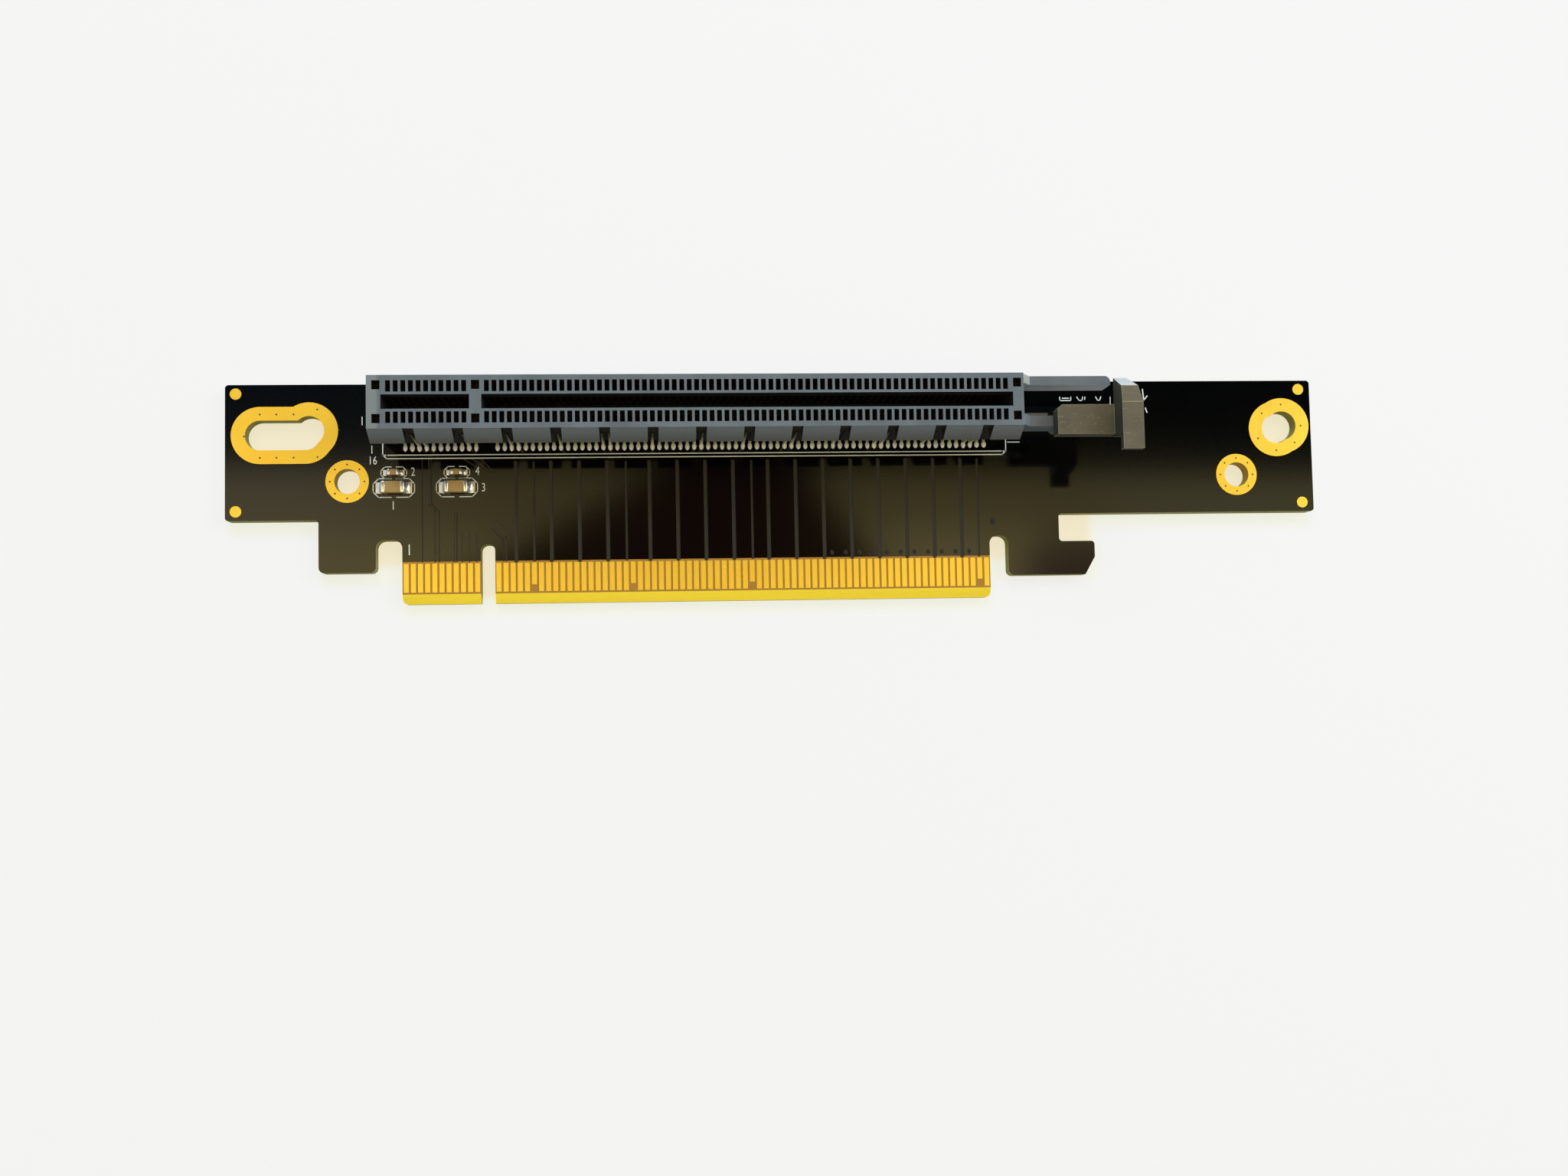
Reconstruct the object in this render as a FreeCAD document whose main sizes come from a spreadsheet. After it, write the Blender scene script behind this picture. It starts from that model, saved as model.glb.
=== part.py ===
import FreeCAD, Part
import math
import re
import Sketcher

# A riser card for a PCI Express x16 position. It lies on its back: X runs along the card, +Y is away from the
# gold edge contacts, +Z is up out of the slot. The origin is the middle of the card's box, on its underside.

sizes = {
    # bare board
    "board_length": 157.05,
    "board_depth": 31.4,
    "laminate": 1.6,
    "copper": 0.04,
    "corner_round": 0.5,
    "wing_depth": 19.35,
    "lobe_inset": 12.95,
    "lobe_depth": 26.85,
    "lobe_round": 0.8,
    "relief_round": 1.2,
    "left_relief": 3.7,
    "left_relief_top": 22.25,
    "right_relief": 2.75,
    "right_relief_top": 22.45,
    "tail_reach": 15.45,
    "tail_depth": 28.25,
    "tail_slant_run": 1.45,
    "tail_slant_rise": 2.55,
    "hook_depth": 23.4,
    "hook_throat": 5.2,
    # edge contacts
    "pin_inset": 25.15,
    "slot_inset": 5.4,
    "pitch": 1.0,
    "first_pins": 11,
    "key_pitches": 3,
    "second_pins": 71,
    "key_slot": 2.0,
    "key_slot_depth": 8.4,
    "key_round": 0.9,
    "tab_margin": 0.53,
    "finger_width": 0.7,
    "finger_length": 4.1,
    "finger_drop": 25.65,
    "band_margin": 0.3,
    "short_finger_cut": 1.0,
    "bevel_run": 1.4,
    "bevel_rise": 0.5,
    # plated mounting holes
    "hole_radius": 1.8,
    "hole_ring": 3.03,
    "hole_drop": 13.86,
    "left_hole_pin": -8.17,
    "right_hole_inset": 11.44,
    "wide_radius": 2.12,
    "wide_ring": 4.07,
    "slotted_start": -20.27,
    "slotted_end": -14.0,
    "slotted_drop": 7.22,
    "offset_pin": -13.48,
    "offset_drop": 6.6,
    "pair_inset": 5.25,
    "pair_drop": 7.13,
    "pair_shift": 0.87,
    "pair_rise": 0.45,
    "disc_radius": 0.8,
    "disc_left_inset": 1.48,
    "disc_right_inset": 1.7,
    "disc_top_inset": 1.3,
    "disc_bottom_inset": 1.32,
    # slot housing
    "body_lead": 2.85,
    "body_trail": 2.5,
    "slot_height": 11.15,
    "crown_half": 3.58,
    "base_half": 3.2,
    "skirt_half": 5.1,
    "skirt_level": 8.9,
    "skirt_root": 8.3,
    "slot_half": 0.975,
    "slot_lead": 0.97,
    "slot_trail": 1.02,
    "slot_depth": 8.25,
    "key_bar": 1.6,
    "key_centre": 11.5,
    "window_width": 0.65,
    "window_far": 2.86,
    "relief_half": 1.34,
    "relief_low": 3.9,
    "relief_high": 9.4,
    "tail_gap": 0.6,
    "leg_gap": 0.03,
    "square_length": 1.1,
    "square_near": 1.65,
    "square_far": 2.87,
    "square_depth": 1.6,
    "square_offset": 1.6,
    "notch_width": 1.46,
    "notch_lead": 1.85,
    "notch_pitch": 6.5,
    "notch_count": 13,
    "notch_high": 7.6,
    "notch_inner": 3.0,
    "rib_reach": 0.15,
    "rib_near": 1.1,
    "rib_far": 2.3,
    "rib_end": 3.15,
    # guide rails past the end of the slot
    "rail_high": 9.67,
    "rail_low": 6.7,
    "rail_outer": 3.48,
    "rail_wall": 1.23,
    "rail_front_wall": 1.48,
    "rail_end": 15.1,
    "rail_front_end": 7.5,
    "rail_corner": 0.8,
    "shelf_end": 6.6,
    "shelf_inner": 1.37,
    "shelf_high": 8.6,
    "ramp_run": 1.35,
    "ramp_root": 0.14,
    "boss_radius": 1.25,
    # slot contacts
    "strip": 0.2,
    "strip_slant": 0.22,
    "strip_width": 0.42,
    "tail_end": 4.05,
    "elbow_level": 4.3,
    "touch_offset": 0.72,
    "touch_level": 6.8,
    # retention latch
    "latch_clearance": 0.08,
    "pivot_pin": 91.2,
    "pivot_offset": 2.75,
    "post_radius": 0.8,
    "post_clearance": 0.05,
    "post_length": 2.6,
    "paddle_start": 89.95,
    "paddle_near": 0.95,
    "paddle_far": 5.0,
    "paddle_thickness": 1.85,
    "paddle_corner": 0.6,
    "head_start": 97.75,
    "head_length": 2.85,
    "head_high": 14.4,
    "head_low": 11.45,
    "head_crease": 1.3,
    "head_tip": 0.95,
    "head_tip_level": 14.15,
    "nose_reach": 2.7,
    "grip_reach": 7.6,
    "grip_thickness": 0.9,
    "grip_root": 5.9,
    "head_corner": 1.0,
    # ceramic capacitors in front of the slot
    "large_length": 2.1,
    "large_width": 1.6,
    "large_height": 1.15,
    "large_cap": 0.55,
    "large_overhang": 0.95,
    "small_length": 0.8,
    "small_width": 0.8,
    "small_height": 0.8,
    "small_cap": 0.4,
    "small_overhang": 0.7,
    "cap_swell": 0.03,
    "left_pair_pin": -1.65,
    "right_pair_pin": 7.2,
    "large_drop": 14.83,
    "small_drop": 12.68,
}

doc = FreeCAD.newDocument("PcieRiserCard")
sheet = doc.addObject("Spreadsheet::Sheet", "Sizes")
for number, (name, value) in enumerate(sizes.items(), start=1):
    sheet.set(f"A{number}", name)
    sheet.set(f"B{number}", str(value))
    sheet.setAlias(f"B{number}", name)
doc.recompute()

# Places that several pieces share, as formulas over the sheet.
pin = "(pin_inset - board_length / 2)"
plane = "(board_depth / 2 - slot_inset)"
rear = "(board_depth / 2)"
face = "laminate"
last = "((first_pins + key_pitches + second_pins - 2) * pitch)"
second = "((first_pins + key_pitches - 1) * pitch)"


def bound(text):
    """The formula with every size name pointed at the sheet."""
    return re.sub(r"[a-z][a-z_]+", lambda found: "Sizes." + found.group(0), text)


def number(text):
    """The formula's value now, for picking edges by their place."""
    probe = doc.addObject("App::FeaturePython", "Probe")
    probe.addProperty("App::PropertyFloat", "Value")
    probe.setExpression("Value", bound(text))
    probe.recompute()
    value = probe.Value
    doc.removeObject(probe.Name)
    return value


def new_body(label):
    body = doc.addObject("PartDesign::Body", label)
    body.Label = label
    body.AllowCompound = True
    return body


def origin_part(body, role):
    return next(item for item in body.Origin.OriginFeatures if item.Role == role)


def new_sketch(body, name, role, level):
    sketch = body.newObject("Sketcher::SketchObject", name)
    sketch.AttachmentSupport = [(origin_part(body, role), "")]
    sketch.MapMode = "FlatFace"
    sketch.setExpression("AttachmentOffset.Base.z", bound(level))
    return sketch


def place_point(sketch, geometry, vertex, across, up):
    """Drive one sketch point by two formulas, measured from the origin."""
    for kind, formula in (("DistanceX", across), ("DistanceY", up)):
        index = sketch.addConstraint(Sketcher.Constraint(kind, -1, 1, geometry, vertex, 1.0))
        label = f"{kind}{geometry}v{vertex}"
        sketch.renameConstraint(index, label)
        sketch.setExpression("Constraints." + label, bound(formula))


def polygons(body, name, role, level, *loops):
    """A sketch of closed straight-sided loops; each corner is a pair of formulas."""
    sketch = new_sketch(body, name, role, level)
    for loop in loops:
        base = sketch.GeometryCount
        count = len(loop)
        ring = [FreeCAD.Vector(math.cos(2 * math.pi * k / count), math.sin(2 * math.pi * k / count), 0)
                for k in range(count)]
        for k in range(count):
            sketch.addGeometry(Part.LineSegment(ring[k], ring[(k + 1) % count]))
        for k in range(count):
            sketch.addConstraint(Sketcher.Constraint("Coincident", base + k, 2, base + (k + 1) % count, 1))
        for k, (across, up) in enumerate(loop):
            place_point(sketch, base + k, 1, across, up)
    return sketch


def circles(body, name, role, level, *rounds):
    """A sketch of circles; each is (across, up, radius)."""
    sketch = new_sketch(body, name, role, level)
    for k, (across, up, radius) in enumerate(rounds):
        sketch.addGeometry(Part.Circle(FreeCAD.Vector(k * 3, 0, 0), FreeCAD.Vector(0, 0, 1), 1))
        place_point(sketch, k, 3, across, up)
        index = sketch.addConstraint(Sketcher.Constraint("Radius", k, 1.0))
        sketch.renameConstraint(index, f"Radius{k}")
        sketch.setExpression(f"Constraints.Radius{k}", bound(radius))
    return sketch


def rectangle(left, right, low, high):
    return [(left, low), (right, low), (right, high), (left, high)]


def pad(body, name, sketch, length, backwards=False):
    feature = body.newObject("PartDesign::Pad", name)
    feature.Profile = sketch
    feature.Reversed = backwards
    feature.setExpression("Length", bound(length))
    return feature


def pocket(body, name, sketch, length, backwards=False):
    """Cut against the sketch's normal, or along it when backwards."""
    doc.recompute()
    before = body.Shape.Volume
    feature = body.newObject("PartDesign::Pocket", name)
    feature.Profile = sketch
    feature.Reversed = backwards
    feature.setExpression("Length", bound(length))
    doc.recompute()
    if body.Shape.Volume > before - 1e-6:
        raise RuntimeError(f"{name} cuts nothing")
    return feature


def row(body, name, originals, count, spacing):
    """Repeat features along X."""
    feature = body.newObject("PartDesign::LinearPattern", name)
    feature.Originals = originals
    feature.Direction = (origin_part(body, "X_Axis"), [""])
    feature.setExpression("Length", bound(f"({count} - 1) * {spacing}"))
    feature.setExpression("Occurrences", bound(count))
    body.Tip = feature
    return feature


def upright_edges(shape, places):
    """Names of the edges that stand along Z at the given places."""
    names = []
    for index, edge in enumerate(shape.Edges, start=1):
        ends = [vertex.Point for vertex in edge.Vertexes]
        if len(ends) != 2 or math.hypot(ends[0].x - ends[1].x, ends[0].y - ends[1].y) > 1e-4:
            continue
        if any(math.hypot(ends[0].x - x, ends[0].y - y) < 1e-3 for x, y in places):
            names.append(f"Edge{index}")
    return names


def round_corners(body, name, places, radius):
    doc.recompute()
    base = body.Tip
    spots = [(number(across), number(up)) for across, up in places]
    names = upright_edges(base.Shape, spots)
    if len(names) != len(spots):
        raise RuntimeError(f"{name} finds {len(names)} of {len(spots)} corners")
    feature = body.newObject("PartDesign::Fillet", name)
    feature.Base = (base, names)
    feature.setExpression("Radius", bound(radius))
    return feature


def block(label, length, width, height, left, front, bottom):
    """A plain box placed by its corner."""
    box = doc.addObject("Part::Box", label)
    box.Label = label
    for prop, formula in (("Length", length), ("Width", width), ("Height", height),
                          ("Placement.Base.x", left), ("Placement.Base.y", front), ("Placement.Base.z", bottom)):
        box.setExpression(prop, bound(formula))
    return box


def compound(label, members):
    group = doc.addObject("Part::Compound", label)
    group.Label = label
    group.Links = members
    return group


# Outline of the board, as distances from its left end and its rear edge.
left_end = "(-board_length / 2)"
right_end = "(board_length / 2)"
wing = f"({rear} - wing_depth)"
lobe_left = f"({left_end} + lobe_inset)"
lobe_low = f"({rear} - lobe_depth)"
tab_left = f"({pin} - tab_margin)"
tab_right = f"({pin} + {last} + tab_margin)"
tab_low = "(-board_depth / 2)"
left_relief_top = f"({rear} - left_relief_top)"
right_relief_top = f"({rear} - right_relief_top)"
tail_left = f"({tab_right} + right_relief)"
tail_right = f"({tab_right} + tail_reach)"
tail_low = f"({rear} - tail_depth)"
hook_top = f"({rear} - hook_depth)"
hook_root = f"({tail_right} - hook_throat)"
key_left = f"({pin} + key_centre * pitch - key_slot / 2)"
key_right = f"({pin} + key_centre * pitch + key_slot / 2)"
key_top = f"({tab_low} + key_slot_depth)"
band_top = f"({rear} - finger_drop + band_margin)"


# Centres of the circles that make up each plated hole, and its inner and outer radius.
holes = {
    "left_hole": [(f"{pin} + left_hole_pin", f"{rear} - hole_drop")],
    "right_hole": [(f"{right_end} - right_hole_inset", f"{rear} - hole_drop")],
    "slotted_hole": [(f"{pin} + slotted_start", f"{rear} - slotted_drop"),
                     (f"{pin} + slotted_end", f"{rear} - slotted_drop"),
                     (f"{pin} + offset_pin", f"{rear} - offset_drop")],
    "pair_hole": [(f"{right_end} - pair_inset", f"{rear} - pair_drop"),
                  (f"{right_end} - pair_inset + pair_shift", f"{rear} - pair_drop + pair_rise")],
}
hole_sizes = {
    "left_hole": ("hole_radius", "hole_ring"),
    "right_hole": ("hole_radius", "hole_ring"),
    "slotted_hole": ("wide_radius", "wide_ring"),
    "pair_hole": ("wide_radius", "wide_ring"),
}


def slot_bridge(radius):
    """The straight stretch of the slotted hole."""
    return rectangle(f"{pin} + slotted_start", f"{pin} + slotted_end",
                     f"{rear} - slotted_drop - {radius}", f"{rear} - slotted_drop + {radius}")


def ring_shape(body, title, name, radius, level, depth, solid=False):
    """Cut one hole's shape at the given radius, down from a level, or build it up from there."""
    shapes = [circles(body, f"{title}Sketch{index}", "XY_Plane", level, (across, up, radius))
              for index, (across, up) in enumerate(holes[name])]
    if name == "slotted_hole":
        shapes.append(polygons(body, f"{title}BridgeSketch", "XY_Plane", level, slot_bridge(radius)))
    for index, shape in enumerate(shapes):
        if solid:
            pad(body, f"{title}{index}", shape, depth)
        else:
            pocket(body, f"{title}{index}", shape, depth)


def make_board():
    body = new_body("circuit_board")
    corners = [(left_end, rear), (left_end, wing), (lobe_left, wing), (lobe_left, lobe_low),
               (f"{tab_left} - left_relief", lobe_low), (f"{tab_left} - left_relief", left_relief_top),
               (tab_left, left_relief_top), (tab_left, tab_low), (key_left, tab_low), (key_left, key_top),
               (key_right, key_top), (key_right, tab_low), (tab_right, tab_low), (tab_right, right_relief_top),
               (tail_left, right_relief_top), (tail_left, tail_low), (f"{tail_right} - tail_slant_run", tail_low),
               (tail_right, f"{tail_low} + tail_slant_rise"), (tail_right, hook_top), (hook_root, hook_top),
               (hook_root, wing), (right_end, wing), (right_end, rear)]
    outline = polygons(body, "BoardOutline", "XY_Plane", "0", corners)
    pad(body, "BoardPad", outline, "laminate")
    reliefs = [corners[5], corners[6], corners[13], corners[14]]
    round_corners(body, "ReliefRounds", reliefs, "relief_round")
    round_corners(body, "KeyRounds", [corners[9], corners[10]], "key_round")
    large = [corners[3], corners[4], corners[7], corners[12], corners[15]]
    round_corners(body, "LobeRounds", large, "lobe_round")
    small = [corners[0], corners[1], corners[2], corners[18], corners[19], corners[20], corners[21], corners[22]]
    round_corners(body, "CornerRounds", small, "corner_round")
    for name, (inner, _) in hole_sizes.items():
        ring_shape(body, f"{name}Through", name, inner, face, "laminate")
    band = rectangle(f"{tab_left} - pitch", f"{tab_right} + pitch", f"{tab_low} - pitch", band_top)
    for side, level in (("Front", face), ("Back", "copper")):
        sketch = polygons(body, f"{side}BandSketch", "XY_Plane", level, band)
        pocket(body, f"{side}Band", sketch, "copper")
    upper = [(f"{tab_low} - pitch", f"{face} + copper"), (f"{tab_low} - pitch", f"{face} - bevel_rise"),
             (tab_low, f"{face} - bevel_rise"), (f"{tab_low} + bevel_run", f"{face} - copper"),
             (f"{tab_low} + bevel_run", f"{face} + copper")]
    lower = [(f"{tab_low} - pitch", "-copper"), (f"{tab_low} - pitch", "bevel_rise"),
             (tab_low, "bevel_rise"), (f"{tab_low} + bevel_run", "copper"),
             (f"{tab_low} + bevel_run", "-copper")]
    bevel = polygons(body, "BevelSketch", "YZ_Plane", f"{tab_left} - pitch", upper, lower)
    pocket(body, "BevelCut", bevel, f"{tab_right} - {tab_left} + 2 * pitch", backwards=True)
    return body


def make_fingers(label, level, short_pins):
    """One face's gold edge contacts, some of them shortened, hanging down from a level."""
    body = new_body(label)
    top = f"({rear} - finger_drop)"
    low = f"({top} - finger_length)"
    for group, start, count in (("First", "0", "first_pins"), ("Second", second, "second_pins")):
        finger = rectangle(f"{pin} + {start} - finger_width / 2", f"{pin} + {start} + finger_width / 2", low, top)
        sketch = polygons(body, f"{group}Sketch", "XY_Plane", level, finger)
        lead = pad(body, f"{group}Pad", sketch, "copper", backwards=True)
        row(body, f"{group}Row", [lead], count, "pitch")
    cuts = [rectangle(f"{pin} + {place} * pitch - pitch / 2", f"{pin} + {place} * pitch + pitch / 2",
                      f"{low} - pitch", f"{low} + short_finger_cut") for place in short_pins]
    sketch = polygons(body, "ShortSketch", "XY_Plane", level, *cuts)
    pocket(body, "ShortCut", sketch, "copper")
    return body


def make_ring(name):
    """The bare metal ring round one mounting hole, on the front face."""
    body = new_body(f"{name}_ring")
    inner, outer = hole_sizes[name]
    ring_shape(body, "Outer", name, outer, face, "copper", solid=True)
    ring_shape(body, "Inner", name, inner, f"{face} + copper", "copper")
    return body


def make_corner_discs():
    """The four bare discs near the corners of the wings."""
    body = new_body("corner_discs")
    places = [(f"{side} + {step}", up, "disc_radius")
              for side, step in ((left_end, "disc_left_inset"), (right_end, "(-disc_right_inset)"))
              for up in (f"{rear} - disc_top_inset", f"{wing} + disc_bottom_inset")]
    pad(body, "Discs", circles(body, "DiscSketch", "XY_Plane", face, *places), "copper")
    return body


slot_pieces = [(f"({pin} - slot_lead)", f"({pin} + key_centre * pitch - key_bar / 2)"),
               (f"({pin} + key_centre * pitch + key_bar / 2)", f"({pin} + {last} + slot_trail)")]
body_left = f"({pin} - body_lead)"
body_right = f"({pin} + {last} + body_trail)"


def both_sides(left, right, near, far):
    """A pair of rectangles mirrored across the slot's middle plane."""
    return [rectangle(left, right, f"{plane} + {near}", f"{plane} + {far}"),
            rectangle(left, right, f"{plane} - {far}", f"{plane} - {near}")]


def make_housing():
    body = new_body("slot_housing")
    section = [(f"{plane} + base_half", face),
               (f"{plane} + base_half", f"{face} + skirt_root"),
               (f"{plane} + crown_half", f"{face} + skirt_level"),
               (f"{plane} + crown_half", f"{face} + slot_height"),
               (f"{plane} - crown_half", f"{face} + slot_height"),
               (f"{plane} - skirt_half", f"{face} + skirt_level"),
               (f"{plane} - base_half", f"{face} + skirt_root"),
               (f"{plane} - base_half", face)]
    sketch = polygons(body, "SectionSketch", "YZ_Plane", body_left, section)
    pad(body, "Moulding", sketch, f"{body_right} - {body_left}")

    rails = [(f"{plane} + rail_outer - rail_wall", f"{plane} + rail_outer", "rail_end"),
             (f"{plane} - rail_outer", f"{plane} - rail_outer + rail_front_wall", "rail_front_end")]
    for side, (low, high, reach) in zip(("Rear", "Front"), rails):
        sketch = polygons(body, f"{side}RailSketch", "XY_Plane", f"{face} + rail_low",
                          rectangle(f"{body_right} - pitch", f"{pin} + {last} + {reach}", low, high))
        pad(body, f"{side}Rail", sketch, "rail_high - rail_low")
        slope = [(f"{body_right} - ramp_root", f"{face} + rail_high"),
                 (f"{body_right} + ramp_run", f"{face} + rail_high"),
                 (f"{body_right} - ramp_root", f"{face} + slot_height")]
        sketch = polygons(body, f"{side}SlopeSketch", "XZ_Plane", f"-({high})", slope)
        pad(body, f"{side}Slope", sketch, f"({high}) - ({low})")
    sketch = circles(body, "BossSketch", "XY_Plane", f"{face} + rail_low",
                     (f"{pin} + pivot_pin", f"{plane} - pivot_offset", "boss_radius"))
    pad(body, "Boss", sketch, "rail_high - rail_low")
    end = [(f"{pin} + {last} + rail_end", f"{plane} + rail_outer")]
    round_corners(body, "RailCorner", end, "rail_corner")

    ribs = [rectangle(f"{body_left} - rib_reach", body_left, f"{plane} + rib_near", f"{plane} + rib_far"),
            rectangle(f"{body_left} - rib_reach", body_left, f"{plane} - rib_end", f"{plane} - rib_near")]
    pad(body, "EndRibs", polygons(body, "RibSketch", "XY_Plane", face, *ribs), "rail_high")
    shelf = rectangle(body_right, f"{pin} + {last} + shelf_end",
                      f"{plane} - rail_outer + rail_front_wall", f"{plane} - shelf_inner")
    pad(body, "Shelf", polygons(body, "ShelfSketch", "XY_Plane", f"{face} + rail_low", shelf), "shelf_high - rail_low")

    top = f"{face} + slot_height"
    slots = [rectangle(left, right, f"{plane} - slot_half", f"{plane} + slot_half") for left, right in slot_pieces]
    pocket(body, "Slot", polygons(body, "SlotSketch", "XY_Plane", top, *slots), "slot_depth")
    wide = [rectangle(left, right, f"{plane} - relief_half", f"{plane} + relief_half")
            for left, right in slot_pieces]
    sketch = polygons(body, "SpringSketch", "XY_Plane", f"{face} + relief_high", *wide)
    pocket(body, "SpringRoom", sketch, "relief_high - relief_low")
    # the contacts' legs run down one narrow slit a side and their tails out under the edge
    for title, outer, high in (("Tail", "skirt_half", "tail_gap"), ("Leg", "(relief_half + strip + leg_gap)", "relief_low")):
        slits = both_sides(f"{pin} - slot_lead", f"{pin} + {last} + slot_trail", "(relief_half - leg_gap)", outer)
        pocket(body, f"{title}Slit", polygons(body, f"{title}Sketch", "XY_Plane", face, *slits), high, backwards=True)

    squares = []
    for middle in (f"{pin} - square_offset", f"{pin} + key_centre * pitch", f"{pin} + {last} + square_offset"):
        squares += both_sides(f"{middle} - square_length / 2", f"{middle} + square_length / 2",
                              "square_near", "square_far")
    pocket(body, "Squares", polygons(body, "SquareSketch", "XY_Plane", top, *squares), "square_depth")
    socket = circles(body, "SocketSketch", "XY_Plane", f"{face} + rail_high",
                     (f"{pin} + pivot_pin", f"{plane} - pivot_offset", "post_radius + post_clearance"))
    pocket(body, "Socket", socket, "rail_high - rail_low")

    notch = rectangle(f"{pin} + notch_lead", f"{pin} + notch_lead + notch_width",
                      f"{plane} - skirt_half - pitch", f"{plane} - crown_half")
    mouth = pocket(body, "Notch", polygons(body, "NotchSketch", "XY_Plane", top, notch), "slot_height")
    row(body, "Notches", [mouth], "notch_count", "notch_pitch")
    recess = rectangle(f"{pin} + notch_lead", f"{pin} + notch_lead + notch_width",
                       f"{plane} - crown_half - copper", f"{plane} - notch_inner")
    view = pocket(body, "Recess", polygons(body, "RecessSketch", "XY_Plane", f"{face} + notch_high", recess),
                  "notch_high")
    row(body, "Recesses", [view], "notch_count", "notch_pitch")
    for group, start, count in (("First", "0", "first_pins"), ("Second", second, "second_pins")):
        pair = both_sides(f"{pin} + {start} - window_width / 2", f"{pin} + {start} + window_width / 2",
                          "relief_half", "window_far")
        sketch = polygons(body, f"{group}WindowSketch", "XY_Plane", top, *pair)
        window = pocket(body, f"{group}Window", sketch, "slot_height - relief_low")
        row(body, f"{group}Windows", [window], count, "pitch")
    return body


def make_contacts(label, side):
    """One row of bent spring contacts; side is 1 for the rear row and -1 for the front row."""
    body = new_body(label)
    away = "+" if side > 0 else "-"
    elbow = "(relief_half + strip)"
    run = [("tail_end", "0"), ("relief_half", "0"), ("relief_half", "elbow_level"), ("touch_offset", "touch_level"),
           ("(touch_offset + strip_slant)", "touch_level"), (elbow, "elbow_level"), (elbow, "strip"),
           ("tail_end", "strip")]
    profile = [(f"{plane} {away} {offset}", f"{face} + {level}") for offset, level in run]
    for group, start, count in (("First", "0", "first_pins"), ("Second", second, "second_pins")):
        sketch = polygons(body, f"{group}Sketch", "YZ_Plane", f"{pin} + {start} - strip_width / 2", profile)
        strip = pad(body, f"{group}Strip", sketch, "strip_width")
        row(body, f"{group}Row", [strip], count, "pitch")
    return body


def make_latch():
    body = new_body("retention_latch")
    under = f"({face} + rail_high + latch_clearance)"
    near = f"{plane} - paddle_near"
    far = f"{plane} - paddle_far"
    start = f"{pin} + paddle_start"
    paddle = [(start, far), (f"{pin} + head_start + copper", far), (f"{pin} + head_start + copper", near),
              (f"{start} + paddle_corner", near), (start, f"{near} - paddle_corner")]
    sketch = polygons(body, "PaddleSketch", "XY_Plane", under, paddle)
    pad(body, "Paddle", sketch, "paddle_thickness")
    head = [(f"{plane} - grip_reach", f"{face} + head_high - grip_thickness"),
            (f"{plane} - grip_root", f"{face} + head_high - grip_thickness"),
            (f"{plane} - paddle_far", under),
            (f"{plane} - paddle_near", under),
            (f"{plane} - paddle_near", f"{face} + head_low"),
            (f"{plane} + nose_reach", f"{face} + head_low"),
            (f"{plane} + head_tip", f"{face} + head_tip_level"),
            (f"{plane} - head_crease", f"{face} + head_high"),
            (f"{plane} - grip_reach", f"{face} + head_high")]
    sketch = polygons(body, "HeadSketch", "YZ_Plane", f"{pin} + head_start", head)
    pad(body, "Head", sketch, "head_length")
    sketch = circles(body, "PostSketch", "XY_Plane", under,
                     (f"{pin} + pivot_pin", f"{plane} - pivot_offset", "post_radius"))
    pad(body, "Post", sketch, "post_length", backwards=True)
    end = f"({pin} + head_start + head_length)"
    corner = polygons(body, "CornerSketch", "XY_Plane", f"{face} + head_high",
                      [(end, f"{plane} - head_crease"),
                       (f"{end} - head_corner", f"{plane} + nose_reach"),
                       (f"{end} - head_corner", f"{plane} + nose_reach + pitch"),
                       (f"{end} + pitch", f"{plane} + nose_reach + pitch"),
                       (f"{end} + pitch", f"{plane} - head_crease")])
    pocket(body, "Corner", corner, "head_high - head_low + copper")
    return body


def make_capacitor(name, kind, place, drop):
    """A ceramic block between two metal end caps, on two copper lands."""
    length, width, height, cap, overhang = (f"{kind}_{part}"
                                            for part in ("length", "width", "height", "cap", "overhang"))
    middle = f"({pin} + {place})"
    line = f"({rear} - {drop})"
    base = f"{face} + copper"
    block(f"{name}_ceramic", length, width, f"{height} - cap_swell", f"{middle} - {length} / 2",
          f"{line} - {width} / 2", base)
    caps, lands = [], []
    for side, left in (("left", f"{middle} - {length} / 2 - {cap}"), ("right", f"{middle} + {length} / 2")):
        caps.append(block(f"{name}_{side}_cap", cap, f"{width} + 2 * cap_swell", height, left,
                          f"{line} - {width} / 2 - cap_swell", base))
        reach = overhang if side == "left" else "0"
        lands.append(block(f"{name}_{side}_land", f"{cap} + {overhang}", width, "copper",
                           f"{left} - {reach}", f"{line} - {width} / 2", face))
    compound(f"{name}_end_caps", caps)
    return lands


# Edge contacts that stop short of the rest, counted in pitches from the first.
short_front = (18, 32, 49, 82)
short_back = (0,)

make_board()
make_fingers("edge_contacts_front", face, short_front)
make_fingers("edge_contacts_back", "copper", short_back)
for hole in holes:
    make_ring(hole)
make_corner_discs()
make_housing()
make_contacts("slot_contacts_rear", 1)
make_contacts("slot_contacts_front", -1)
make_latch()
lands = []
for side, place in (("left", "left_pair_pin"), ("right", "right_pair_pin")):
    lands += make_capacitor(f"{side}_large_capacitor", "large", place, "large_drop")
    lands += make_capacitor(f"{side}_small_capacitor", "small", place, "small_drop")
compound("capacitor_lands", lands)
doc.recompute()

nodes = [item for item in doc.Objects if item.TypeId == "PartDesign::Body"]
nodes += [item for item in doc.Objects if item.Label.endswith(("_ceramic", "_end_caps", "_lands"))]
for item in doc.Objects:
    if "Invalid" in item.State or "Error" in item.State:
        raise RuntimeError(f"{item.Label} failed: {item.State}")
for item in nodes:
    if item.Shape.isNull() or not item.Shape.isValid():
        raise RuntimeError(f"{item.Label} has no valid shape")
for item in nodes:
    item.Shape.exportStep(f"parts/{item.Label}.step")
    print(item.Label, len(item.Shape.Solids), "solids", round(item.Shape.Volume, 2), "mm3")
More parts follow.
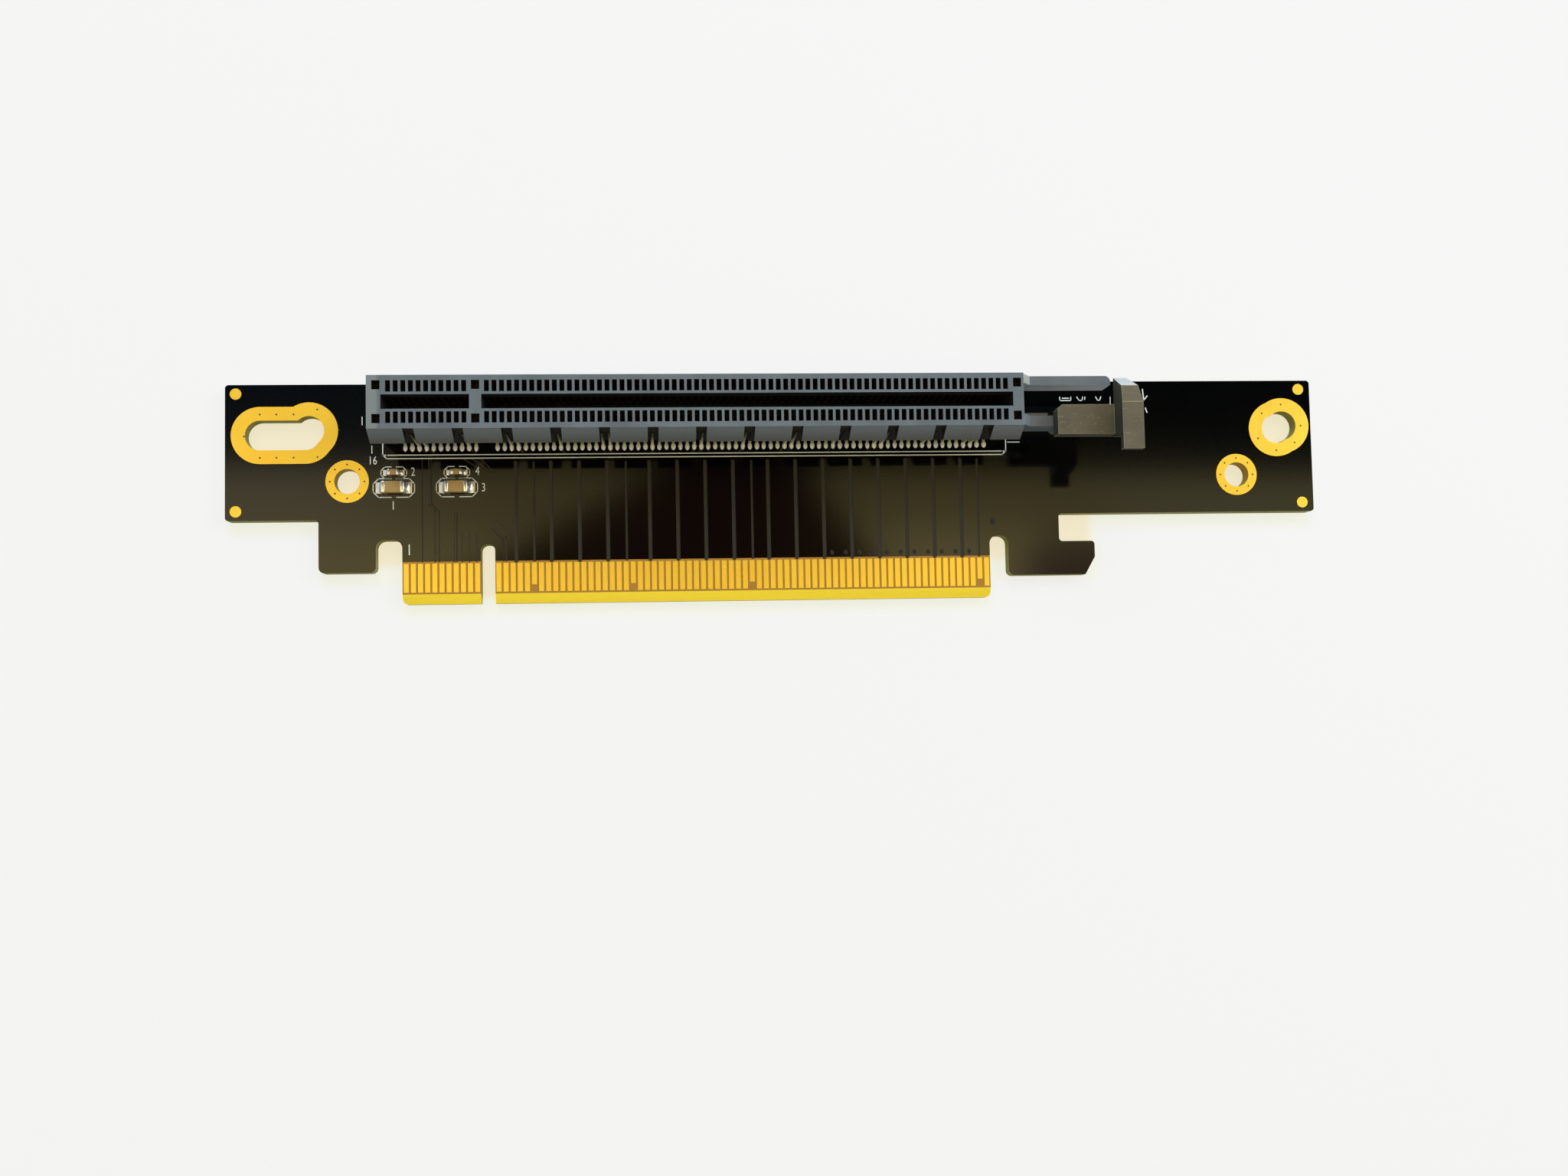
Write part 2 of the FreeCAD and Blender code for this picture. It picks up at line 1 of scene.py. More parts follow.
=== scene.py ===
import bpy
import bmesh
import math
import random
from mathutils import Matrix, Vector


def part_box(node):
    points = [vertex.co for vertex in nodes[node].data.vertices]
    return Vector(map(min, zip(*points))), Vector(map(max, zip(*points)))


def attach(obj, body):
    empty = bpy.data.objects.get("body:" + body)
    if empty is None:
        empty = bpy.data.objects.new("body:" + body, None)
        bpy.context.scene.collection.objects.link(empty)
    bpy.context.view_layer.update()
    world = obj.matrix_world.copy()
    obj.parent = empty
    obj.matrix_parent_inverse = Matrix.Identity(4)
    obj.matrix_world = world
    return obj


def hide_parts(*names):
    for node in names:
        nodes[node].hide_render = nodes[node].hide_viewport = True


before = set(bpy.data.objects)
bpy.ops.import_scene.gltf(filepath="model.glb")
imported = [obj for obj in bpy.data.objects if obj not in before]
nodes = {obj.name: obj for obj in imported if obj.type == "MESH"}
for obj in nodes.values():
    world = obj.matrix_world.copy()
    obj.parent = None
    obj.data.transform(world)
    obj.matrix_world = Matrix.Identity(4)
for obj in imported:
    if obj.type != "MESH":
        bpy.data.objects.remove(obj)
scene = bpy.context.scene
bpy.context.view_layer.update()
mm = 0.001
weld = {"node": 0.0008, "text": 0.0005, "flat": 0.5}

boardLow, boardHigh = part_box("circuit_board")
slotLow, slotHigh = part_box("slot_housing")
fingerLow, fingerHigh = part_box("edge_contacts_front")
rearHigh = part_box("slot_contacts_rear")[1]
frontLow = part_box("slot_contacts_front")[0]
fingerWidth = 0.7

topZ = boardHigh.z
pinX = fingerLow.x + fingerWidth / 2 * mm
slotY = (rearHigh.y + frontLow.y) / 2
pinPlaces = list(range(11)) + list(range(13, 84))


def at(across, up, above=0.0):
    # a place counted in mm from the first contact, the slot's middle plane and the board's face
    return Vector((pinX + across * mm, slotY + up * mm, topZ + above * mm))


# materials

def newMaterial(name, roughness, metallic=0.0):
    material = bpy.data.materials.new(name)
    material.use_nodes = True
    tree = material.node_tree
    shader = tree.nodes["Principled BSDF"]
    shader.inputs["Roughness"].default_value = roughness
    shader.inputs["Metallic"].default_value = metallic
    return material, tree, shader


def addNode(tree, kind, **inputs):
    node = tree.nodes.new(kind)
    for key, value in inputs.items():
        node.inputs[key].default_value = value
    return node


def objectPlace(tree, scale=(1, 1, 1), shift=(0, 0, 0)):
    # Object coordinates in mm, stretched and shifted
    source = tree.nodes.new("ShaderNodeTexCoord")
    mapping = tree.nodes.new("ShaderNodeMapping")
    mapping.inputs["Scale"].default_value = [1000 * s for s in scale]
    mapping.inputs["Location"].default_value = shift
    tree.links.new(source.outputs["Object"], mapping.inputs["Vector"])
    return mapping.outputs["Vector"]


def noise(tree, vector, scale, detail=3.0, roughness=0.55):
    node = addNode(tree, "ShaderNodeTexNoise", Scale=scale, Detail=detail, Roughness=roughness)
    tree.links.new(vector, node.inputs["Vector"])
    return node.outputs["Fac"]


def ramp(tree, value, *stops):
    node = tree.nodes.new("ShaderNodeValToRGB")
    elements = node.color_ramp.elements
    while len(elements) < len(stops):
        elements.new(0.5)
    for element, (place, color) in zip(elements, stops):
        element.position = place
        element.color = (*color, 1)
    tree.links.new(value, node.inputs["Fac"])
    return node.outputs["Color"]


def grey(level):
    return (level, level, level)


def mix(tree, share, first, second):
    node = tree.nodes.new("ShaderNodeMix")
    node.data_type = "RGBA"
    for socket, value in ((node.inputs[0], share), (node.inputs[6], first), (node.inputs[7], second)):
        if hasattr(value, "is_linked"):
            tree.links.new(value, socket)
        elif isinstance(value, (int, float)):
            socket.default_value = value
        else:
            socket.default_value = (*value, 1)
    return node.outputs[2]


def sums(tree, operation, first, second=0.0):
    node = tree.nodes.new("ShaderNodeMath")
    node.operation = operation
    for socket, value in zip(node.inputs, (first, second)):
        if hasattr(value, "is_linked"):
            tree.links.new(value, socket)
        else:
            socket.default_value = value
    return node.outputs[0]


def bumpInto(tree, shader, height, distance):
    bump = addNode(tree, "ShaderNodeBump", Strength=1.0, Distance=distance * mm)
    tree.links.new(height, bump.inputs["Height"])
    tree.links.new(bump.outputs["Normal"], shader.inputs["Normal"])


def axisValue(tree, axis):
    source = tree.nodes.new("ShaderNodeTexCoord")
    split = tree.nodes.new("ShaderNodeSeparateXYZ")
    tree.links.new(source.outputs["Object"], split.inputs[0])
    return split.outputs[axis]


def between(tree, value, low, high, soft):
    # 1 inside the stretch from low to high, with soft ends, all in metres
    rise = addNode(tree, "ShaderNodeMapRange")
    rise.interpolation_type = "SMOOTHSTEP"
    fall = addNode(tree, "ShaderNodeMapRange")
    fall.interpolation_type = "SMOOTHSTEP"
    for node, first, last in ((rise, low - soft, low + soft), (fall, high + soft, high - soft)):
        node.inputs["From Min"].default_value = first
        node.inputs["From Max"].default_value = last
        tree.links.new(value, node.inputs["Value"])
    return sums(tree, "MULTIPLY", rise.outputs[0], fall.outputs[0])


def edge(tree, value, place, soft):
    # 0 below place and 1 above it
    step = addNode(tree, "ShaderNodeMapRange")
    step.interpolation_type = "SMOOTHSTEP"
    step.inputs["From Min"].default_value = place - soft
    step.inputs["From Max"].default_value = place + soft
    tree.links.new(value, step.inputs["Value"])
    return step.outputs[0]


def product(tree, first, *others):
    for other in others:
        first = sums(tree, "MULTIPLY", first, other)
    return first


maskLook = {"dark": (0.0002, 0.0004, 0.0005), "warm": (0.0008, 0.0006, 0.0004), "roughness": 0.085,
            "dust": 0.05, "dustColor": (0.30, 0.28, 0.24), "peel": 0.0010}


def makeMask():
    # glossy black solder mask: a faint orange peel, cloudy warmth and a little dust
    material, tree, shader = newMaterial("solderMask", maskLook["roughness"])
    plain = objectPlace(tree)
    cloud = noise(tree, plain, 0.06, 2.0)
    fine = noise(tree, plain, 2.6, 3.0, 0.7)
    warmth = ramp(tree, cloud, (0.35, grey(0.0)), (0.65, grey(1.0)))
    color = mix(tree, warmth, maskLook["dark"], maskLook["warm"])
    speck = ramp(tree, noise(tree, plain, 3.4, 2.0, 0.8), (0.76, grey(0.0)), (0.81, grey(1.0)))
    color = mix(tree, sums(tree, "MULTIPLY", speck, maskLook["dust"]), color, maskLook["dustColor"])
    tree.links.new(color, shader.inputs["Base Color"])
    rough = mix(tree, fine, grey(maskLook["roughness"] - 0.02), grey(maskLook["roughness"] + 0.03))
    tree.links.new(rough, shader.inputs["Roughness"])
    bumpInto(tree, shader, fine, maskLook["peel"])
    return material


def makeLaminate(name, first, second, roughness):
    # cut glass-epoxy board: fibres show as fine streaks along the edge
    material, tree, shader = newMaterial(name, roughness)
    streaks = noise(tree, objectPlace(tree, (0.6, 0.6, 9)), 1.5, 4.0)
    tree.links.new(mix(tree, streaks, first, second), shader.inputs["Base Color"])
    bumpInto(tree, shader, streaks, 0.01)
    return material


goldLook = {"color": (1.0, 0.57, 0.040), "pale": (1.0, 0.70, 0.070), "roughness": 0.25, "metallic": 0.40}


def makeGold(name, first, second, roughness, metallic):
    material, tree, shader = newMaterial(name, roughness, metallic)
    plain = objectPlace(tree)
    cloud = noise(tree, plain, 0.16, 3.0)
    grain = noise(tree, objectPlace(tree, (3, 1, 1)), 0.5, 2.0)
    tree.links.new(mix(tree, cloud, first, second), shader.inputs["Base Color"])
    polish = mix(tree, grain, grey(roughness - 0.02), grey(roughness + 0.04))
    tree.links.new(polish, shader.inputs["Roughness"])
    bumpInto(tree, shader, grain, 0.0004)
    return material


# painted shade: colour and extent of the shade painted inside the housing's slot
cavityShade = {"half": 3.0, "start": 0.5, "end": 85.2, "soft": 0.05, "color": (0.0008, 0.0010, 0.0014)}
endBlock = {"end": 1.4, "soft": 0.3, "color": (0.155, 0.188, 0.208)}


def makePlastic(name, first, second, roughness, grainScale, grainHeight, scuff=None, shadeDepth=None):
    # moulded plastic with a fine grain and, where it is handled, pale scuffs
    # the depth argument is for the housing: painted shade makes its inside near-black from that far below the
    # top, and its left end block is paler
    material, tree, shader = newMaterial(name, roughness)
    plain = objectPlace(tree)
    cloud = noise(tree, plain, 0.22, 4.0)
    grain = noise(tree, plain, grainScale, 3.0)
    color = mix(tree, ramp(tree, cloud, (0.3, grey(0.0)), (0.7, grey(1.0))), first, second)
    if scuff:
        long = noise(tree, objectPlace(tree, (0.5, 2.6, 2.6), (0.4, 0.2, 0)), 1.4, 5.0, 0.7)
        marks = ramp(tree, long, (0.60, grey(0.0)), (0.68, grey(1.0)))
        color = mix(tree, sums(tree, "MULTIPLY", marks, 0.45), color, scuff)
    if shadeDepth:
        x, y, z = (axisValue(tree, axis) for axis in ("X", "Y", "Z"))
        soft = cavityShade["soft"] * mm
        shadedInside = product(tree, between(tree, z, topZ, slotHigh.z - shadeDepth * mm, soft),
                         between(tree, y, slotY - cavityShade["half"] * mm, slotY + cavityShade["half"] * mm, soft),
                         between(tree, x, slotLow.x + cavityShade["start"] * mm, pinX + cavityShade["end"] * mm, soft))
        # painted shade inside the housing
        color = mix(tree, shadedInside, color, cavityShade["color"])
        past = edge(tree, x, pinX - endBlock["end"] * mm, endBlock["soft"] * mm)
        color = mix(tree, past, endBlock["color"], color)
    tree.links.new(color, shader.inputs["Base Color"])
    rough = mix(tree, grain, grey(roughness - 0.08), grey(roughness + 0.12))
    tree.links.new(rough, shader.inputs["Roughness"])
    bumpInto(tree, shader, grain, grainHeight)
    return material


# painted shade: the colours of the housing's sloping front, darker and browner at its lower edge
skirt = {"middle": 9.7, "soft": 1.4, "lower": (0.050, 0.046, 0.042), "upper": (0.115, 0.145, 0.185),
         "cloud": (0.075, 0.085, 0.085), "cloudShare": 0.5}


def makeShadedSkirt():
    # the sloping front of the housing: a darker copy of its plastic with painted shade, dimmer and browner
    # towards its lower edge
    material, tree, shader = newMaterial("slotSkirtShade", 0.5)
    plain = objectPlace(tree)
    grain = noise(tree, plain, 9.0, 3.0)
    cloud = noise(tree, plain, 0.5, 4.0)
    level = edge(tree, axisValue(tree, "Z"), topZ + skirt["middle"] * mm, skirt["soft"] * mm)
    color = mix(tree, level, skirt["lower"], skirt["upper"])
    color = mix(tree, sums(tree, "MULTIPLY", cloud, skirt["cloudShare"]), color, skirt["cloud"])
    tree.links.new(color, shader.inputs["Base Color"])
    bumpInto(tree, shader, grain, 0.006)
    return material


def makeSolder():
    # satin tin-lead fillets: their pale tone, with a painted sheen that makes them near-white
    material, tree, shader = newMaterial("solder", 0.42, 0.08)
    cloud = noise(tree, objectPlace(tree), 2.2, 3.0)
    tree.links.new(mix(tree, cloud, (0.86, 0.84, 0.78), (0.98, 0.97, 0.92)), shader.inputs["Base Color"])
    bumpInto(tree, shader, cloud, 0.02)
    return material


def makeMetal(name, first, second, roughness):
    material, tree, shader = newMaterial(name, roughness, 0.85)
    cloud = noise(tree, objectPlace(tree), 1.3, 3.0)
    tree.links.new(mix(tree, cloud, first, second), shader.inputs["Base Color"])
    bumpInto(tree, shader, cloud, 0.02)
    return material


# the upper and inside colours are painted shade
contactLook = {"half": 2.9, "soft": 0.1, "middle": 3.2, "fade": 2.4, "lower": (0.80, 0.74, 0.60),
               "upper": (0.06, 0.055, 0.045), "shadedInside": (0.001, 0.001, 0.001)}


def makeContactTin():
    # bright where the contact leaves the housing and runs down to the board; painted shade darkens it higher
    # up and makes it near-black inside the housing
    material, tree, shader = newMaterial("contactTinShaded", 0.32, 0.6)
    half = contactLook["half"] * mm
    shadedInside = between(tree, axisValue(tree, "Y"), slotY - half, slotY + half, contactLook["soft"] * mm)
    height = edge(tree, axisValue(tree, "Z"), topZ + contactLook["middle"] * mm, contactLook["fade"] * mm)
    leg = mix(tree, height, contactLook["lower"], contactLook["upper"])
    tree.links.new(mix(tree, shadedInside, leg, contactLook["shadedInside"]), shader.inputs["Base Color"])
    return material


mask = makeMask()
laminateEdge = makeLaminate("laminateEdge", (0.16, 0.16, 0.045), (0.30, 0.30, 0.09), 0.6)
laminateBand = makeLaminate("laminateBand", (0.30, 0.145, 0.012), (0.40, 0.20, 0.02), 0.5)
laminateBevel = makeLaminate("laminateBevel", (0.76, 0.57, 0.014), (0.86, 0.66, 0.028), 0.5)
gold = makeGold("gold", goldLook["color"], goldLook["pale"], goldLook["roughness"], goldLook["metallic"])
goldBarrel = makeGold("goldBarrel", (0.32, 0.25, 0.08), (0.45, 0.34, 0.11), 0.4, 0.6)
slotPlastic = makePlastic("slotPlastic", (0.077, 0.101, 0.127), (0.109, 0.140, 0.172), 0.5, 9.0, 0.006,
                          shadeDepth=0.14)
# painted shade: a near-black copy of the housing plastic for the inside of the slot, the notch walls and the
# window bevels
slotPaintedShade = makePlastic("slotPaintedShade", (0.0010, 0.0012, 0.0016), (0.0016, 0.0019, 0.0024), 0.8, 9.0, 0.004)
# painted highlight: a lit copy of the housing plastic for the end slope
slotSlopeHighlight = makePlastic("slotSlopeHighlight", (0.24, 0.28, 0.26), (0.34, 0.38, 0.34), 0.5, 9.0, 0.006)
# painted highlight: a pale copy of the housing plastic for the rail's inner side
slotRailHighlight = makePlastic("slotRailHighlight", (0.42, 0.50, 0.60), (0.58, 0.66, 0.72), 0.45, 9.0, 0.006)
slotSkirtShade = makeShadedSkirt()
# painted highlight: a pale copy of the housing plastic for its bevelled rims
slotRimHighlight = makePlastic("slotRimHighlight", (0.30, 0.36, 0.43), (0.42, 0.49, 0.56), 0.40, 9.0, 0.004)
latchPlastic = makePlastic("latchPlastic", (0.062, 0.052, 0.030), (0.104, 0.090, 0.053), 0.55, 5.0, 0.02,
                           scuff=(0.34, 0.31, 0.22))
# painted shade: a dim copy of the latch plastic for the walls under the head
latchSideShade = makePlastic("latchSideShade", (0.022, 0.022, 0.015), (0.036, 0.034, 0.022), 0.6, 5.0, 0.02)
# painted highlight: a pale copy of the latch plastic for the lead-in facet
latchFacetHighlight = makePlastic("latchFacetHighlight", (0.30, 0.35, 0.38), (0.40, 0.45, 0.48), 0.4, 5.0, 0.01)
# painted highlight: a pale copy of the latch plastic for its bevelled rims
latchRimHighlight = makePlastic("latchRimHighlight", (0.34, 0.31, 0.21), (0.46, 0.42, 0.29), 0.5, 5.0, 0.02)
solder = makeSolder()
tin = makeMetal("tin", (0.80, 0.78, 0.70), (0.90, 0.88, 0.82), 0.24)
contactTinShaded = makeContactTin()
trackMask = makePlastic("trackMask", (0.004, 0.0035, 0.0020), (0.008, 0.007, 0.004), 0.40, 4.0, 0.01)
gapMask = makePlastic("gapMask", (0.0006, 0.0006, 0.0005), (0.001, 0.001, 0.0008), 0.7, 4.0, 0.01)
ceramic = makePlastic("ceramic", (0.34, 0.225, 0.075), (0.44, 0.30, 0.11), 0.42, 6.0, 0.01)
ink = makePlastic("ink", (0.60, 0.65, 0.66), (0.74, 0.79, 0.79), 0.6, 7.0, 0.004)
viaDark = makePlastic("viaDark", (0.012, 0.007, 0.002), (0.03, 0.018, 0.005), 0.6, 7.0, 0.004)
print("materials made")

# pieces

def finish(bm, name, materials, body, smooth=None, replaced=()):
    mesh = bpy.data.meshes.new(name)
    bm.to_mesh(mesh)
    bm.free()
    piece = bpy.data.objects.new(name, mesh)
    scene.collection.objects.link(piece)
    for material in materials:
        mesh.materials.append(material)
    if smooth is not None:
        mesh.polygons.foreach_set("use_smooth", [True] * len(mesh.polygons))
        mesh.set_sharp_from_angle(angle=math.radians(smooth))
    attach(piece, body)
    if replaced:
        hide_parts(*replaced)
    return piece


def mergedCopy(node):
    # a welded copy of a CAD node, flat faces joined up
    bm = bmesh.new()
    bm.from_mesh(nodes[node].data)
    bmesh.ops.remove_doubles(bm, verts=bm.verts, dist=weld["node"] * mm)
    bmesh.ops.dissolve_limit(bm, angle_limit=math.radians(weld["flat"]), verts=bm.verts, edges=bm.edges)
    return bm


def clean(bm):
    # drops the normals that came with the CAD node
    fresh = bpy.data.meshes.new("fresh")
    bm.to_mesh(fresh)
    if "custom_normal" in fresh.attributes:
        fresh.attributes.remove(fresh.attributes["custom_normal"])
    bm.clear()
    bm.from_mesh(fresh)
    bpy.data.meshes.remove(fresh)
    return bm


def sharpEdges(bm, angle):
    limit = math.radians(angle)
    return [side for side in bm.edges if len(side.link_faces) == 2 and side.calc_face_angle(0) > limit]


board = {"band": 0.45, "wall": 0.3, "flat": 0.99}
boardSlots = {"mask": 0, "wall": 1, "band": 2, "bevel": 3}


def makeBoard():
    # masked faces, with bare laminate between the contacts, on the bevel below them and round the edges
    bm = clean(mergedCopy("circuit_board"))
    bandTop = fingerHigh.y + board["band"] * mm
    for face in bm.faces:
        if abs(face.normal.z) < board["wall"]:
            face.material_index = boardSlots["wall"]
        elif abs(face.normal.z) < board["flat"]:
            face.material_index = boardSlots["bevel"]
        elif max(v.co.y for v in face.verts) < bandTop:
            face.material_index = boardSlots["band"]
        else:
            face.material_index = boardSlots["mask"]
    return finish(bm, "boardPanel", [mask, laminateEdge, laminateBand, laminateBevel], "card",
                  30, ["circuit_board"])


makeBoard()
print("board made")

housing = {"edge": 0.055, "angle": 40, "lip": 0.05, "windowNear": 1.2, "windowFar": 3.0,
           "windowStart": 0.9, "windowEnd": 84.3, "innerHalf": 3.05, "innerStart": 0.4, "innerEnd": 85.2,
           "notchNear": 3.1, "notchStart": 0.6, "notchEnd": 84.8, "skirtNear": 3.9, "shelfStart": 86.5,
           "shelfNear": 0.5, "railLength": 11.0}
housingSlots = {"plain": 0, "skirt": 1, "bright": 2, "dark": 3, "slope": 4, "rim": 5}
latch = {"edge": 0.10, "angle": 4}
latchSlots = {"plain": 0, "side": 1, "facet": 2}
# how far a face's normal has to point along an axis to count as facing that way
facing = {"upright": 0.15, "side": 0.3, "forward": -0.2, "front": -0.7, "top": 0.9, "lean": 0.3,
          "back": 0.4, "raised": 0.2}


def housingShade(face):
    # painted shade inside the slot and the notches, painted shade on the skirt and shelf, and painted
    # highlights on the end slope and the rail's inner side
    middle, normal = face.calc_center_median(), face.normal
    away = (middle.y - slotY) / mm
    fromLeft = (middle.x - slotLow.x) / mm
    fromPin = (middle.x - pinX) / mm
    inner = housing["innerStart"] < fromLeft and fromPin < housing["innerEnd"]
    # painted shade on the faces inside the slot
    if inner and abs(away) < housing["innerHalf"] and middle.z < slotHigh.z - housing["lip"] * mm:
        return housingSlots["dark"]
    notched = housing["notchStart"] < fromLeft and fromPin < housing["notchEnd"]
    # painted shade on the upright walls of the notches
    if notched and away < -housing["notchNear"] and abs(normal.z) < facing["upright"]:
        return housingSlots["dark"]
    # painted shade on the skirt's sloping front
    if normal.y < facing["forward"] and away < -housing["skirtNear"]:
        return housingSlots["skirt"]
    # painted highlight on the end slope
    if normal.x > facing["lean"] and normal.z > facing["lean"] and away > 0:
        return housingSlots["slope"]
    # painted shade: the shelf by the rail takes the skirt's darker colour
    if normal.z > facing["top"] and fromPin > housing["shelfStart"] and away < -housing["shelfNear"]:
        return housingSlots["skirt"]
    # painted highlight on the rail's inner side
    if normal.y < facing["front"] and middle.x > slotHigh.x - housing["railLength"] * mm and away > 0:
        return housingSlots["bright"]
    return housingSlots["plain"]


def latchShade(face):
    # painted highlight on the lead-in facet and painted shade on the walls under the head
    if face.normal.y > facing["back"] and face.normal.z > facing["raised"]:
        return latchSlots["facet"]
    if abs(face.normal.z) < facing["side"]:
        return latchSlots["side"]
    return latchSlots["plain"]


def paintWindowShade(bm):
    # painted shade: the bevels inside the two rows of windows are as dark as the walls below them
    for face in bm.faces:
        middle = face.calc_center_median()
        inRow = housing["windowNear"] < abs(middle.y - slotY) / mm < housing["windowFar"]
        inLength = slotLow.x + housing["windowStart"] * mm < middle.x < pinX + housing["windowEnd"] * mm
        if face.material_index == housingSlots["rim"] and inRow and inLength:
            face.material_index = housingSlots["dark"]


def makeBevelled(node, name, materials, body, look, shade, rimLevel=None):
    # the last material, a paler copy with a painted highlight, is for the bevels; with a rimLevel only edges
    # above it are bevelled
    bm = clean(mergedCopy(node))
    for face in bm.faces:
        face.material_index = shade(face)
    edges = sharpEdges(bm, look["angle"])
    if rimLevel is not None:
        edges = [e for e in edges if min(v.co.z for v in e.verts) > rimLevel]
    bmesh.ops.bevel(bm, geom=edges, offset=look["edge"] * mm, offset_type="OFFSET", affect="EDGES",
                    segments=1, profile=0.5, material=len(materials) - 1, clamp_overlap=True)
    if rimLevel is not None:
        paintWindowShade(bm)
    return finish(bm, name, materials, body, 25, [node])


housingPlastics = [slotPlastic, slotSkirtShade, slotRailHighlight, slotPaintedShade, slotSlopeHighlight, slotRimHighlight]
makeBevelled("slot_housing", "slotMoulding", housingPlastics, "card", housing,
             housingShade, slotHigh.z - 0.01 * mm)
makeBevelled("retention_latch", "latchMoulding", [latchPlastic, latchSideShade, latchFacetHighlight, latchRimHighlight], "latch",
             latch, latchShade)
print("housing and latch made")


def paint(node, material):
    slots = nodes[node].material_slots
    if len(slots) == 0:
        nodes[node].data.materials.append(material)
    for index in range(len(slots)):
        slots[index].material = material


for node in nodes:
    if "hole_ring" in node or node.startswith("edge_contacts") or node == "corner_discs":
        paint(node, gold)
    if node.startswith("slot_contacts"):
        paint(node, contactTinShaded)
paint("capacitor_lands", tin)

# capacitors

capacitor = {"capRound": 0.13, "bodyRound": 0.05, "largeReach": 0.28, "smallReach": 0.40}
fillet = {"high": 0.8, "wide": 0.98, "squeeze": 0.12, "hollow": 2.2, "crown": 0.55, "overlap": 0.06,
          "sunk": 0.015}


def roundedBlock(low, high, radius, segments):
    bm = bmesh.new()
    size = high - low
    bmesh.ops.create_cube(bm, size=1)
    place = Matrix.Translation((low + high) / 2) @ Matrix.Diagonal((*size, 1))
    bmesh.ops.transform(bm, matrix=place, verts=bm.verts)
    bmesh.ops.bevel(bm, geom=list(bm.edges), offset=radius, offset_type="OFFSET", affect="EDGES",
                    segments=segments, profile=0.5, material=-1)
    return bm


def joined(parts):
    whole = bmesh.new()
    for part in parts:
        shell = bpy.data.meshes.new("part")
        part.to_mesh(shell)
        part.free()
        whole.from_mesh(shell)
        bpy.data.meshes.remove(shell)
    return whole


def solderWedge(outer, side, reach, low, high):
    # a hollow-faced heap of solder that runs from the end cap's crest down to the rim of its land
    wedge = bmesh.new()
    bmesh.ops.create_grid(wedge, x_segments=6, y_segments=4, size=0.5)
    width = (high.y - low.y) * fillet["wide"]
    tall = (high.z - low.z) * fillet["high"]
    for v in wedge.verts:
        along = v.co.x + 0.5
        across = v.co.y
        squeeze = 1 - fillet["squeeze"] * along
        rise = (1 - along) ** fillet["hollow"] * (1 - fillet["crown"] * (2 * across) ** 4)
        v.co = Vector((outer + side * (along * reach - fillet["overlap"] * mm),
                       (low.y + high.y) / 2 + across * width * squeeze, low.z + tall * rise))
    made = bmesh.ops.extrude_face_region(wedge, geom=list(wedge.faces))
    for v in [item for item in made["geom"] if isinstance(item, bmesh.types.BMVert)]:
        v.co.z = low.z - fillet["sunk"] * mm
    bmesh.ops.recalc_face_normals(wedge, faces=wedge.faces)
    return wedge


def makeCapacitor(stem, title, reachShare):
    low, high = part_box(f"{stem}_ceramic")
    finish(roundedBlock(low, high, capacitor["bodyRound"] * mm, 2), f"{title}Ceramic", [ceramic], "card",
           40, [f"{stem}_ceramic"])
    capLow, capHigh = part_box(f"{stem}_end_caps")
    ends, joints = [], []
    for side, near, far in ((-1, capLow.x, low.x), (1, high.x, capHigh.x)):
        ends.append(roundedBlock(Vector((near, capLow.y, capLow.z)), Vector((far, capHigh.y, capHigh.z)),
                                 capacitor["capRound"] * mm, 3))
        # solder that climbs the end from the land
        outer = near if side < 0 else far
        joints.append(solderWedge(outer, side, (capHigh.x - capLow.x) * reachShare, capLow, capHigh))
    finish(joined(ends), f"{title}Ends", [tin], "card", 50, [f"{stem}_end_caps"])
    finish(joined(joints), f"{title}Solder", [tin], "card", 60)


for side in ("left", "right"):
    for size in ("large", "small"):
        makeCapacitor(f"{side}_{size}_capacitor", f"{side}{size.capitalize()}Capacitor",
                      capacitor[f"{size}Reach"])
print("capacitors made")

# solder at the slot's feet

feet = {"front": 3.78, "rear": 3.72, "width": 0.70, "length": 1.12, "height": 0.42, "centre": 0.12,
        "cut": 0.005, "widths": (0.92, 1.06), "lengths": (0.92, 1.05), "stray": 0.02}


def makeFeet(name, up):
    # one solder heap to a contact, each a little different
    random.seed(name)
    blobs = []
    for place in pinPlaces:
        bm = bmesh.new()
        bmesh.ops.create_uvsphere(bm, u_segments=8, v_segments=6, radius=0.5)
        wide = feet["width"] * mm * random.uniform(*feet["widths"])
        long = feet["length"] * mm * random.uniform(*feet["lengths"])
        across = place + random.uniform(-feet["stray"], feet["stray"])
        size = Matrix.Diagonal((wide, long, feet["height"] * mm, 1))
        move = Matrix.Translation(at(across, up, feet["centre"])) @ size
        bmesh.ops.transform(bm, matrix=move, verts=bm.verts)
        bmesh.ops.bisect_plane(bm, geom=list(bm.verts) + list(bm.edges) + list(bm.faces), clear_inner=True,
                               plane_co=(0, 0, topZ + feet["cut"] * mm), plane_no=(0, 0, 1))
        bmesh.ops.holes_fill(bm, edges=bm.edges)
        blobs.append(bm)
    finish(joined(blobs), name, [solder], "card", 60)


leads = {"notchStart": 1.85, "notchWidth": 1.46, "notchPitch": 6.5, "notches": 13, "spare": 0.05, "top": 6.4,
         "low": 0.2, "upTop": -3.25, "upEnd": -3.62, "wide": 0.34, "thin": 0.14, "taper": 0.75}


def makeLead(place):
    # one leg that leans out and widens on its way down to the board
    bm = bmesh.new()
    bmesh.ops.create_cube(bm, size=1)
    for v in bm.verts:
        top = v.co.z > 0
        middle = at(place, leads["upTop"] if top else leads["upEnd"], leads["top"] if top else leads["low"])
        wide = leads["wide"] * (leads["taper"] if top else 1) * mm
        v.co = middle + Vector((v.co.x * wide, v.co.y * leads["thin"] * mm, 0))
    return bm


